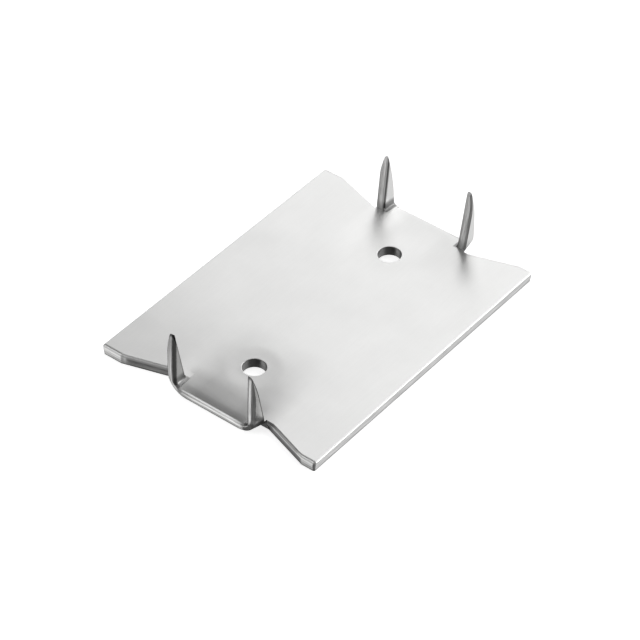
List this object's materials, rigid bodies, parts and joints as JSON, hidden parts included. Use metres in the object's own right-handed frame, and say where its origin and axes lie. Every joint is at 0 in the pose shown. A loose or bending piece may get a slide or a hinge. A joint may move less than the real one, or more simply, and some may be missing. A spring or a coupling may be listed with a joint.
{
  "type": "nail protector plate",
  "caption": "Flat steel stud guard plate with folded, pointed teeth at both short ends and nail holes on its centreline. It shields pipes and cables in a stud from nails and screws.",
  "frame": {"origin": "middle of the plate's flat back face", "axes": "+X across the plate's short side, +Y along its long side, +Z out of the toothed face, the way the teeth point"},
  "size_m": [0.0382, 0.0508, 0.0108],
  "materials": {
    "plate_steel": "satin zinc-coated sheet, brighter on the flat faces and darker on the sheared edges"
  },
  "bodies": {
    "root": {"protector_plate": "plate_steel"}
  },
  "joints": []
}
